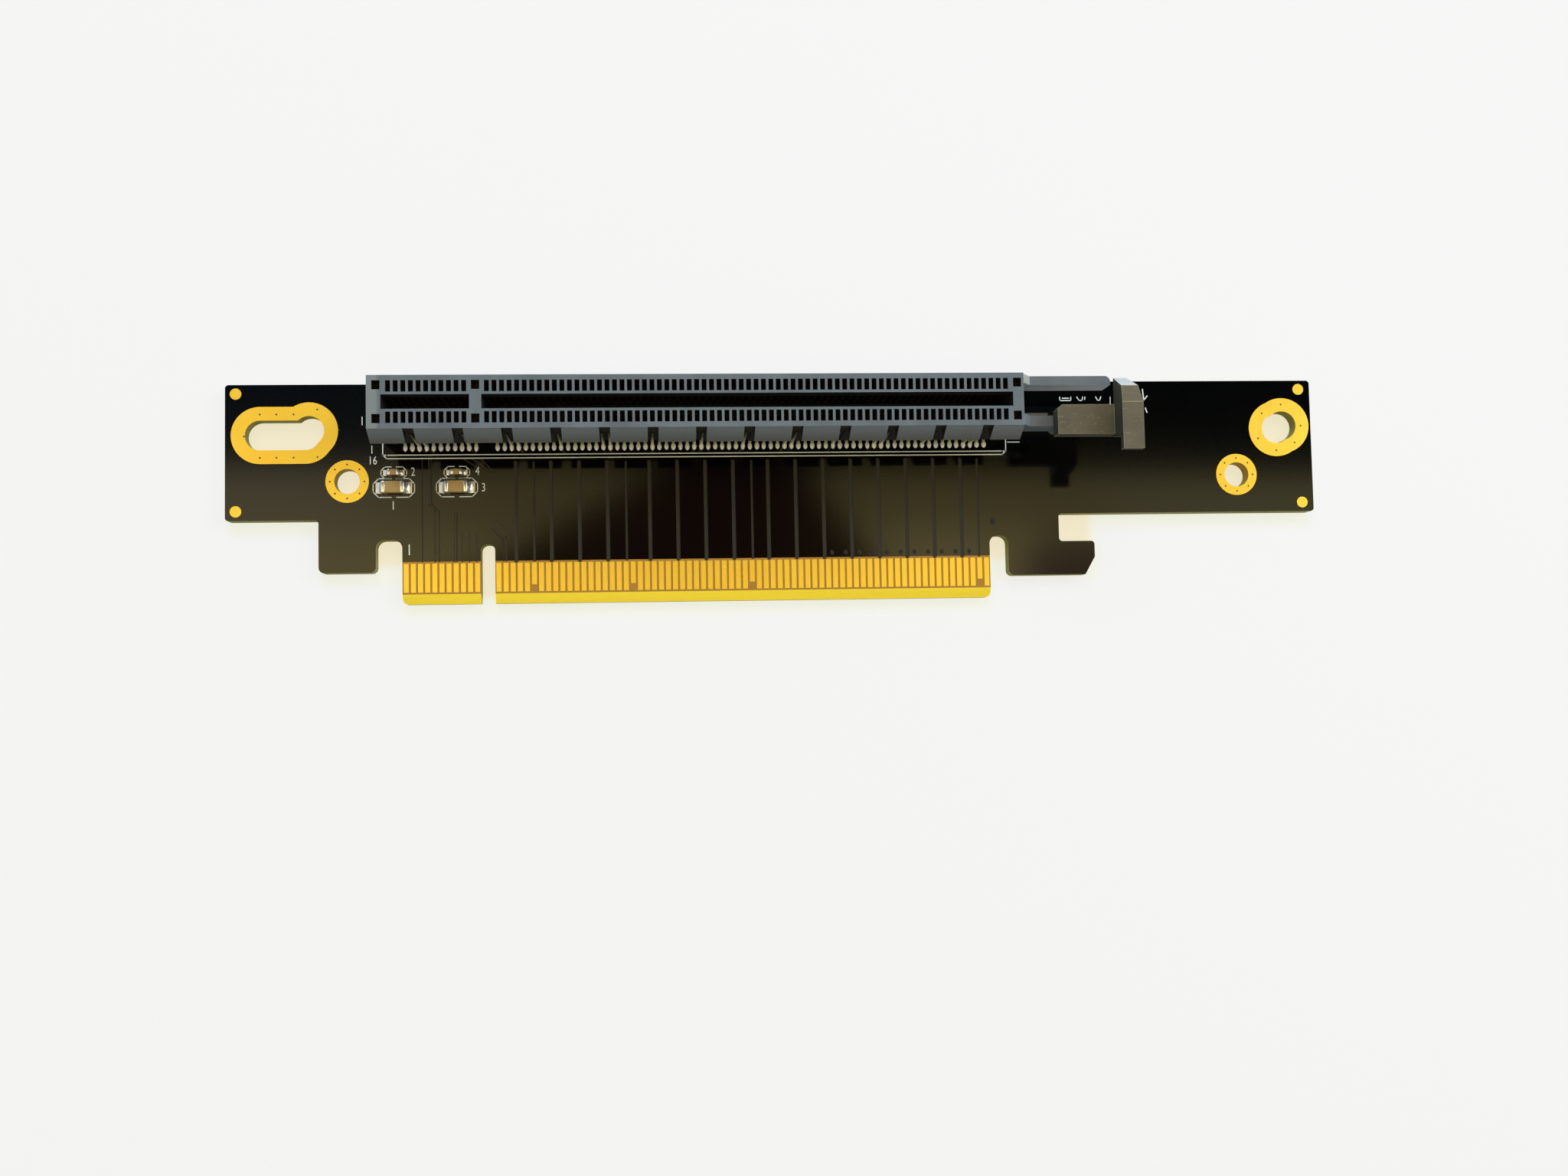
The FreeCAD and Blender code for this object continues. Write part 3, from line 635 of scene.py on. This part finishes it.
def makeLeads():
    # the legs that show through the notches in the skirt, one or two to a notch
    legs = []
    for k in range(leads["notches"]):
        first = leads["notchStart"] + k * leads["notchPitch"] - leads["spare"]
        last = first + leads["notchWidth"] + 2 * leads["spare"]
        for place in pinPlaces:
            if first < place - leads["wide"] / 2 and place + leads["wide"] / 2 < last:
                legs.append(makeLead(place))
    finish(joined(legs), "notchLeads", [contactTinShaded], "card")


makeLeads()
makeFeet("frontSolder", -feet["front"])
makeFeet("rearSolder", feet["rear"])
print("solder made")

# strokes of ink and copper

silk = {"thick": 0.02, "line": 0.16, "fine": 0.13, "narrow": 0.72}


def addBar(bm, first, last, width, thick=silk["thick"]):
    # one straight stroke from first to last, both counted as in at()
    high = thick * mm
    start, end = at(*first), at(*last)
    run = end - start
    turn = Matrix.Rotation(math.atan2(run.y, run.x), 4, "Z")
    centre = (start + end) / 2 + Vector((0, 0, high / 2))
    shape = Matrix.Diagonal((run.length + width * mm, width * mm, high, 1))
    made = bmesh.ops.create_cube(bm, size=1)
    bmesh.ops.transform(bm, matrix=Matrix.Translation(centre) @ turn @ shape, verts=made["verts"])


def strokes(bm, points, width, thick=silk["thick"]):
    for first, last in zip(points, points[1:]):
        addBar(bm, first, last, width, thick)


# tracks under the mask

tracks = {"line": 0.42, "thin": 0.2, "shift": 1.45, "gap": 0.12, "top": -5.9, "end": -20.0,
          "raised": 0.010, "sunk": 0.004, "bend": 0.16, "bendGap": 0.14,
          "pairs": (14, 19, 23, 27, 33, 37, 41, 45, 50, 54, 58, 62, 66, 70, 74, 78),
          "single": (18.0, 31.1, 49.1, 81.9)}


def makeTracks():
    # each lane is a raised pair with a gap beside it, and single lines run between some lanes
    raised, gaps = bmesh.new(), bmesh.new()
    lanes = [(k + tracks["shift"], tracks["line"]) for k in tracks["pairs"]]
    for place, width in lanes + [(x, tracks["thin"]) for x in tracks["single"]]:
        addBar(raised, (place, tracks["top"]), (place, tracks["end"]), width, tracks["raised"])
        beside = place + width / 2 + tracks["gap"] / 2
        addBar(gaps, (beside, tracks["top"]), (beside, tracks["end"]), tracks["gap"], tracks["sunk"])
    bends = [[(3.27, -4.9), (3.36, -11.9), (4.1, -12.8), (4.05, -20.0)], [(6.85, -13.0), (6.75, -20.0)],
             [(7.9, -15.8), (7.9, -20.0)], [(8.9, -15.8), (8.9, -20.0)], [(9.9, -16.1), (9.9, -20.0)],
             [(8.2, -5.4), (11.0, -7.2)], [(9.4, -5.35), (11.6, -6.9)], [(10.6, -5.3), (12.1, -7.0)],
             [(12.2, -15.0), (14.0, -16.6), (14.1, -20.0)], [(12.6, -14.2), (15.1, -16.4)]]
    for bend in bends:
        strokes(raised, bend, tracks["bend"], tracks["raised"])
    darks = [[(2.35, -5.4), (2.3, -20.0)], [(3.6, -5.0), (3.65, -11.8), (4.7, -12.9), (4.67, -20.0)],
             [(7.2, -13.1), (7.1, -20.0)], [(12.0, -15.4), (13.6, -16.9), (13.7, -20.0)]]
    for bend in darks:
        strokes(gaps, bend, tracks["bendGap"], tracks["sunk"])
    finish(raised, "raisedTracks", [trackMask], "card")
    finish(gaps, "trackGaps", [gapMask], "card")


dome = {"row": -19.3, "shift": -0.45, "radius": 0.30, "lone": (84.11, -15.0, 0.42), "long": 1.25,
        "high": 0.05}


def makeDomes():
    # filled vias just above the last contacts, and one by the right relief
    domes = []
    row = [(k + dome["shift"], dome["row"], dome["radius"]) for k in range(61, 83, 2)]
    for across, up, radius in row + [dome["lone"]]:
        bm = bmesh.new()
        bmesh.ops.create_uvsphere(bm, u_segments=10, v_segments=6, radius=1)
        flat = Matrix.Diagonal((radius * mm, radius * dome["long"] * mm, dome["high"] * mm, 1))
        bmesh.ops.transform(bm, matrix=Matrix.Translation(at(across, up, 0)) @ flat, verts=bm.verts)
        domes.append(bm)
    finish(joined(domes), "filledVias", [gapMask], "card", 60)


makeTracks()
makeDomes()

# printed lines and numbers

slotFrame = {"left": -3.18, "right": 86.3, "near": -4.76, "far": -5.26, "upper": 4.2, "chamfer": 0.55,
             "dash": ((86.6, -3.46), (88.3, -3.46)), "dashLine": 0.12}


def makeSlotFrame():
    # the printed line round the slot, with a second one along its front and a dash past its end
    bm = bmesh.new()
    s = slotFrame
    for low in (s["near"], s["far"]):
        strokes(bm, [(s["left"] + s["chamfer"], low), (s["right"] - s["chamfer"], low)], silk["line"])
    for side, turn in ((s["left"], 1), (s["right"], -1)):
        strokes(bm, [(side, s["upper"]), (side, s["far"] + s["chamfer"]),
                     (side + turn * s["chamfer"], s["far"])], silk["line"])
        strokes(bm, [(side, s["near"]), (side + turn * s["chamfer"], s["near"])], silk["line"])
    addBar(bm, *s["dash"], s["dashLine"])
    finish(bm, "slotOutline", [ink], "card")


makeSlotFrame()


def makeCapOutline(name, stem, gap, grow, notch):
    # chamfered brackets round a capacitor, open in the middle of the long sides
    low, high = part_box(f"{stem}_end_caps")
    left, right = (low.x - pinX) / mm - grow[0], (high.x - pinX) / mm + grow[0]
    down, up = (low.y - slotY) / mm - grow[1], (high.y - slotY) / mm + grow[1]
    middle = (left + right) / 2
    bm = bmesh.new()
    for side, turn in ((left, 1), (right, -1)):
        strokes(bm, [(middle - turn * gap, up), (side + turn * notch, up), (side, up - notch),
                     (side, down + notch), (side + turn * notch, down), (middle - turn * gap, down)],
                silk["fine"])
    finish(bm, name, [ink], "card")


for side in ("left", "right"):
    makeCapOutline(f"{side}LargeOutline", f"{side}_large_capacitor", gap=0.4, grow=(1.3, 0.5), notch=0.75)
    makeCapOutline(f"{side}SmallOutline", f"{side}_small_capacitor", gap=0.35, grow=(1.0, 0.42), notch=0.55)


number = {"height": 1.38, "spacing": 1.1, "above": 0.002}


def makeNumber(name, body, across, up, size):
    # a plain number in narrow printed figures
    font = bpy.data.curves.new(name, "FONT")
    font.body = body
    font.size = size * mm * number["height"]
    font.extrude = silk["thick"] * mm / 2
    font.align_x = "CENTER"
    font.align_y = "CENTER"
    font.space_character = number["spacing"]
    source = bpy.data.objects.new(name + "Text", font)
    scene.collection.objects.link(source)
    bpy.context.view_layer.update()
    graph = bpy.context.evaluated_depsgraph_get()
    mesh = bpy.data.meshes.new_from_object(source.evaluated_get(graph))
    bpy.data.objects.remove(source)
    bm = bmesh.new()
    bm.from_mesh(mesh)
    bpy.data.meshes.remove(mesh)
    bmesh.ops.remove_doubles(bm, verts=bm.verts, dist=weld["text"] * mm)
    narrow = Matrix.Diagonal((silk["narrow"], 1, 1, 1))
    move = Matrix.Translation(at(across, up, silk["thick"] / 2 + number["above"])) @ narrow
    bmesh.ops.transform(bm, matrix=move, verts=bm.verts)
    finish(bm, name, [ink], "card")


def makeNumbers():
    spots = [
        ("capTwo", "2", 1.05, -7.2, 1.25),
        ("capFour", "4", 10.1, -7.15, 1.25),
        ("capOne", "1", -1.75, -12.0, 1.25),
        ("capThree", "3", 10.95, -9.5, 1.25),
        ("firstPin", "1", -4.7, -4.0, 1.2),
        ("pinRow", "1", -6.05, 0.1, 1.3),
        ("lanes", "16", -4.6, -5.55, 1.2),
        ("firstContact", "1", 0.45, -18.35, 1.6),
    ]
    for name, body, across, up, size in spots:
        makeNumber(name, body, across, up, size)


makeNumbers()


def makeMarks():
    # parts of a plain printed frame and dashes that show past the latch
    marks = [
        (0.14, [(94.5, 3.1), (94.5, 2.6), (96.15, 2.6), (96.15, 3.1)]),
        (0.14, [(94.9, 2.95), (95.8, 2.95)]),
        (0.14, [(97.05, 3.1), (97.35, 2.6), (97.8, 2.6), (97.9, 3.1)]),
        (0.13, [(98.25, 3.1), (98.2, 2.75)]),
        (0.14, [(99.85, 3.1), (100.1, 2.6), (100.4, 2.6), (100.6, 3.1)]),
        (0.10, [(102.0, 3.1), (101.97, 2.0)]),
        (0.16, [(106.85, 4.2), (107.0, 2.6), (107.5, 3.2)]),
        (0.16, [(107.2, 1.45), (107.4, 0.8)]),
    ]
    bm = bmesh.new()
    for width, points in marks:
        strokes(bm, points, width)
    finish(bm, "latchMarks", [ink], "card")


makeMarks()
print("printing made")

# via dots and barrels

vias = {"radius": 0.13, "ringRadius": 2.42, "ringCount": 8, "above": 0.046}


def addDot(bm, across, up):
    made = bmesh.ops.create_circle(bm, cap_ends=True, segments=10, radius=vias["radius"] * mm)
    bmesh.ops.translate(bm, vec=at(across, up, vias["above"]), verts=made["verts"])


def makeVias():
    bm = bmesh.new()
    for node in ("left_hole_ring", "right_hole_ring"):
        low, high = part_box(node)
        middle = (low + high) / 2
        for k in range(vias["ringCount"]):
            angle = k * 2 * math.pi / vias["ringCount"]
            addDot(bm, (middle.x - pinX) / mm + vias["ringRadius"] * math.cos(angle),
                   (middle.y - slotY) / mm + vias["ringRadius"] * math.sin(angle))
    slotted = [(-20.3, 1.15), (-18.0, 1.15), (-15.6, 1.15), (-12.3, 1.85), (-9.3, -1.1), (-12.3, -4.95),
               (-15.6, -5.0), (-18.0, -5.0), (-20.3, -5.0), (-22.5, -1.95)]
    pair = [(127.5, 1.85), (124.6, 0.55), (123.9, -3.15), (126.6, -4.95), (129.4, -3.8), (130.4, -1.3)]
    for across, up in slotted + pair:
        addDot(bm, across, up)
    finish(bm, "ringVias", [viaDark], "card")


makeVias()

backRing = {"below": 0.02, "thickShare": 0.5}
barrel = {"radius": 1.8, "wall": 0.03, "short": 0.02, "segments": 48}


def makeBackRings():
    # plain plated rings on the underside, opposite those on the face
    bm = bmesh.new()
    for node in ("left_hole_ring", "right_hole_ring", "slotted_hole_ring", "pair_hole_ring"):
        source = bpy.data.meshes.new("ring")
        ring = mergedCopy(node)
        bmesh.ops.scale(ring, vec=(1, 1, backRing["thickShare"]), verts=ring.verts)
        drop = boardLow.z - backRing["below"] * mm - min(v.co.z for v in ring.verts)
        bmesh.ops.translate(ring, vec=(0, 0, drop), verts=ring.verts)
        ring.to_mesh(source)
        ring.free()
        bm.from_mesh(source)
        bpy.data.meshes.remove(source)
    finish(clean(bm), "backRings", [gold], "card")


makeBackRings()


def makeBarrel(name, node):
    # the plating inside a round screw hole
    low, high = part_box(node)
    middle = (low + high) / 2
    bm = bmesh.new()
    bmesh.ops.create_circle(bm, cap_ends=False, segments=barrel["segments"], radius=barrel["radius"] * mm)
    made = bmesh.ops.extrude_edge_only(bm, edges=list(bm.edges))
    raised = [item for item in made["geom"] if isinstance(item, bmesh.types.BMVert)]
    bmesh.ops.translate(bm, vec=(0, 0, topZ - boardLow.z - barrel["short"] * mm), verts=raised)
    bmesh.ops.recalc_face_normals(bm, faces=bm.faces)
    bmesh.ops.solidify(bm, geom=list(bm.faces), thickness=barrel["wall"] * mm)
    bmesh.ops.translate(bm, vec=(middle.x, middle.y, boardLow.z + barrel["short"] / 2 * mm), verts=bm.verts)
    finish(bm, name, [goldBarrel], "card", 40)


makeBarrel("leftBarrel", "left_hole_ring")
makeBarrel("rightBarrel", "right_hole_ring")
print("vias and barrels made")

# floor, light and camera

# the warm tint is a painted shadow under the card and just past its front edges
floorLook = {"pale": (0.890, 0.892, 0.905), "shadowTint": (0.898, 0.908, 0.82), "desk": (0.90, 0.83, 0.62),
             "size": 2.4, "glow": 0.85, "below": 0.02, "shadowEdge": (0.3, 1.9, 1.1),
             "deskEdge": (-1.0, -1.0, 0.8)}
card = {"wingDepth": 19.35, "lobeInset": 12.95, "lobeEnd": 32.0, "lobeDepth": 26.85, "tabLead": 0.9,
        "tabEnd": 83.9, "wingTop": 2.0, "lobeTop": 10.0}


def footprint(tree, grow, reach, soft):
    # 1 under the card, up to grow mm beyond its ends and reach mm beyond its front edges
    x, y = axisValue(tree, "X"), axisValue(tree, "Y")
    spans = [
        (boardLow.x - grow * mm, boardHigh.x + grow * mm,
         boardHigh.y - (card["wingDepth"] + reach) * mm, boardHigh.y - card["wingTop"] * mm),
        (boardLow.x + (card["lobeInset"] - grow) * mm, boardHigh.x - (card["lobeEnd"] - grow) * mm,
         boardHigh.y - (card["lobeDepth"] + reach) * mm, boardHigh.y - card["lobeTop"] * mm),
        (pinX - (card["tabLead"] + grow) * mm, pinX + (card["tabEnd"] + grow) * mm,
         boardLow.y - reach * mm, boardHigh.y - card["lobeTop"] * mm),
    ]
    covered = 0.0
    for left, right, front, back in spans:
        inLength = between(tree, x, left, right, soft * mm)
        inDepth = between(tree, y, front, back, soft * mm)
        covered = sums(tree, "MAXIMUM", covered, product(tree, inLength, inDepth))
    return covered


def makeFloor():
    bm = bmesh.new()
    bmesh.ops.create_grid(bm, x_segments=1, y_segments=1, size=floorLook["size"] / 2)
    bmesh.ops.translate(bm, vec=(0, 0, boardLow.z - floorLook["below"] * mm), verts=bm.verts)
    mesh = bpy.data.meshes.new("floor")
    bm.to_mesh(mesh)
    bm.free()
    floor = bpy.data.objects.new("floor", mesh)
    scene.collection.objects.link(floor)
    material, tree, shader = newMaterial("floorPaint", 0.8)
    # painted shadow: a warm tint under the card and just past its front edges
    color = mix(tree, footprint(tree, *floorLook["shadowEdge"]), floorLook["pale"], floorLook["shadowTint"])
    color = mix(tree, footprint(tree, *floorLook["deskEdge"]), color, floorLook["desk"])
    tree.links.new(color, shader.inputs["Base Color"])
    glow = tree.nodes.new("ShaderNodeEmission")
    tree.links.new(color, glow.inputs["Color"])
    path = tree.nodes.new("ShaderNodeLightPath")
    share = sums(tree, "MULTIPLY", path.outputs["Is Camera Ray"], floorLook["glow"])
    blend = tree.nodes.new("ShaderNodeMixShader")
    tree.links.new(share, blend.inputs[0])
    tree.links.new(shader.outputs[0], blend.inputs[1])
    tree.links.new(glow.outputs[0], blend.inputs[2])
    tree.links.new(blend.outputs[0], tree.nodes["Material Output"].inputs["Surface"])
    mesh.materials.append(material)


lamps = {
    "rearWindow": {"place": (-0.10, 0.75, 0.60), "size": (0.5, 0.4), "power": 4.5,
                   "color": (0.95, 0.98, 1.0)},
    "sideWindow": {"place": (0.70, 0.25, 0.45), "size": (0.4, 0.4), "power": 3.6,
                   "color": (0.96, 0.98, 1.0)},
}


def addLamp(name, place, size, power, color):
    # a window that faces the card
    data = bpy.data.lights.new(name, "AREA")
    data.shape = "RECTANGLE"
    data.size, data.size_y = size
    data.energy = power
    data.color = color
    lamp = bpy.data.objects.new(name, data)
    lamp.location = place
    lamp.rotation_euler = (-Vector(place)).to_track_quat("-Z", "Y").to_euler()
    scene.collection.objects.link(lamp)


room = {
    "side": (0.62, 0.70, 0.80), "front": (0.30, 0.33, 0.36), "ceiling": (1.06, 0.86, 0.35),
    "leftCeiling": (1.46, 1.22, 0.72), "rightCeiling": (1.22, 1.06, 0.54), "bright": (2.1, 1.68, 0.72),
    "dark": (0.003, 0.014, 0.020), "leftDark": (0.04, 0.07, 0.10), "hand": (0.11, 0.045, 0.03),
    "shelf": (0.55, 0.36, 0.24),
}
# where each stretch overhead begins and ends, as slopes from straight up, and how soft its edge is
stretch = {
    "ceilingAcross": (-0.62, 0.95, 0.1), "ceilingBack": (-0.6, 0.7, 0.03), "brightBack": (-0.6, 0.147, 0.02),
    "brightAcross": (-0.6, 0.345, 0.015), "shelfAcross": (0.330, 0.46, 0.010),
    "shelfBack": (-0.1, 0.132, 0.008), "handLeft": (-0.012, 0.02), "handRight": (0.148, 0.012),
    "handBack": (0.0, 0.02), "wall": (0.202, 0.010), "left": (-0.22, 0.09), "right": (0.40, 0.07),
    "wallLeft": (-0.17, 0.12), "front": (-0.1, 0.3),
}
lean = {"tip": 0.19, "left": 2.0, "right": 0.8, "wall": 0.016}


def makeWorld():
    # overhead: a warm ceiling that ends in a dark wall behind, and a dark shape leaning over the card
    world = bpy.data.worlds.new("room")
    scene.world = world
    world.use_nodes = True
    tree = world.node_tree
    source = tree.nodes.new("ShaderNodeTexCoord")
    split = tree.nodes.new("ShaderNodeSeparateXYZ")
    tree.links.new(source.outputs["Generated"], split.inputs[0])
    height = sums(tree, "MAXIMUM", split.outputs["Z"], 0.05)
    u = sums(tree, "DIVIDE", split.outputs["X"], height)
    v = sums(tree, "DIVIDE", split.outputs["Y"], height)
    overhead, bright, shelf = (product(tree, between(tree, u, *stretch[part + "Across"]),
                                       between(tree, v, *stretch[part + "Back"]))
                               for part in ("ceiling", "bright", "shelf"))
    slant = sums(tree, "SUBTRACT", lean["tip"], v)
    leftEdge = sums(tree, "ADD", u, sums(tree, "MULTIPLY", slant, lean["left"]))
    rightEdge = sums(tree, "SUBTRACT", u, sums(tree, "MULTIPLY", slant, lean["right"]))
    notRight = sums(tree, "SUBTRACT", 1.0, edge(tree, rightEdge, *stretch["handRight"]))
    hand = product(tree, edge(tree, leftEdge, *stretch["handLeft"]), notRight,
                   edge(tree, v, *stretch["handBack"]))
    wallEdge = sums(tree, "ADD", v, sums(tree, "MULTIPLY", u, lean["wall"]))
    wallColor = mix(tree, edge(tree, u, *stretch["wallLeft"]), room["leftDark"], room["dark"])
    color = mix(tree, edge(tree, u, *stretch["left"]), room["leftCeiling"], room["ceiling"])
    color = mix(tree, edge(tree, u, *stretch["right"]), color, room["rightCeiling"])
    color = mix(tree, bright, color, room["bright"])
    color = mix(tree, shelf, color, room["shelf"])
    color = mix(tree, hand, color, room["hand"])
    color = mix(tree, edge(tree, wallEdge, *stretch["wall"]), color, wallColor)
    around = mix(tree, edge(tree, split.outputs["Y"], *stretch["front"]), room["front"], room["side"])
    color = mix(tree, overhead, around, color)
    tree.links.new(color, tree.nodes["Background"].inputs["Color"])


makeFloor()
makeWorld()
for name, values in lamps.items():
    addLamp(name, **values)

view = {"place": (-0.019241, -0.03024, 0.1666), "turn": (2.576, -2.689, -0.988), "lens": 26.65,
        "sensor": 36, "shiftX": 0.0505, "shiftY": 0.0404, "nearest": 0.01, "farthest": 20}
cameraData = bpy.data.cameras.new("camera")
cameraData.lens = view["lens"]
cameraData.sensor_width = view["sensor"]
cameraData.shift_x = view["shiftX"]
cameraData.shift_y = view["shiftY"]
cameraData.clip_start = view["nearest"]
cameraData.clip_end = view["farthest"]
camera = bpy.data.objects.new("camera", cameraData)
camera.location = view["place"]
camera.rotation_euler = [math.radians(angle) for angle in view["turn"]]
scene.collection.objects.link(camera)
scene.camera = camera
scene.view_settings.view_transform = "Standard"
print("stage made")
